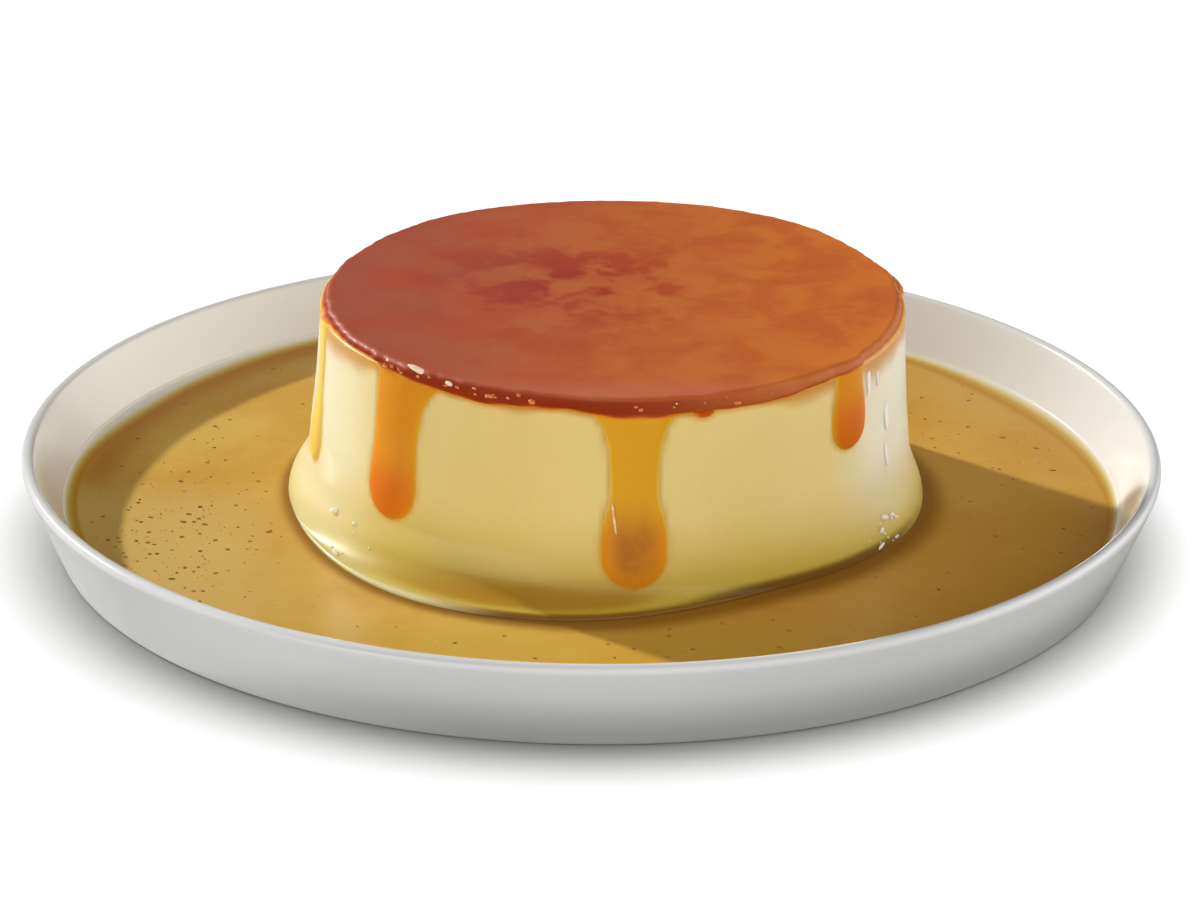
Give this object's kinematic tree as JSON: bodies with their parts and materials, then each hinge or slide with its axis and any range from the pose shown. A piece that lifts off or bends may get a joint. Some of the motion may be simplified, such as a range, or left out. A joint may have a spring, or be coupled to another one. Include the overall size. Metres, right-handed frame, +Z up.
{
  "type": "creme caramel on a plate",
  "caption": "Creme caramel custard with a caramel top and running drips, standing in a shallow pool of syrup on a low-walled round white plate.",
  "frame": {"origin": "middle of the plate's underside, on the surface that it stands on", "axes": "+Z up through the middle of the plate; -Y towards the side that the reference view shows; +X to that view's right"},
  "size_m": [0.16, 0.16, 0.0346],
  "materials": {
    "porcelain": "clear-glazed white porcelain, glossy, with a bare foot ring",
    "custard": "set egg custard, smooth and moist, pale cream yellow, light passes into it",
    "caramel": "soft wet caramel, red-brown and mottled on top, clear amber where it runs thin",
    "syrup": "thin clear golden caramel syrup, wet, with fine brown specks"
  },
  "bodies": {
    "root": {"plate": "porcelain", "custard": "custard", "caramel_layer": "caramel", "syrup": "syrup"}
  },
  "joints": []
}
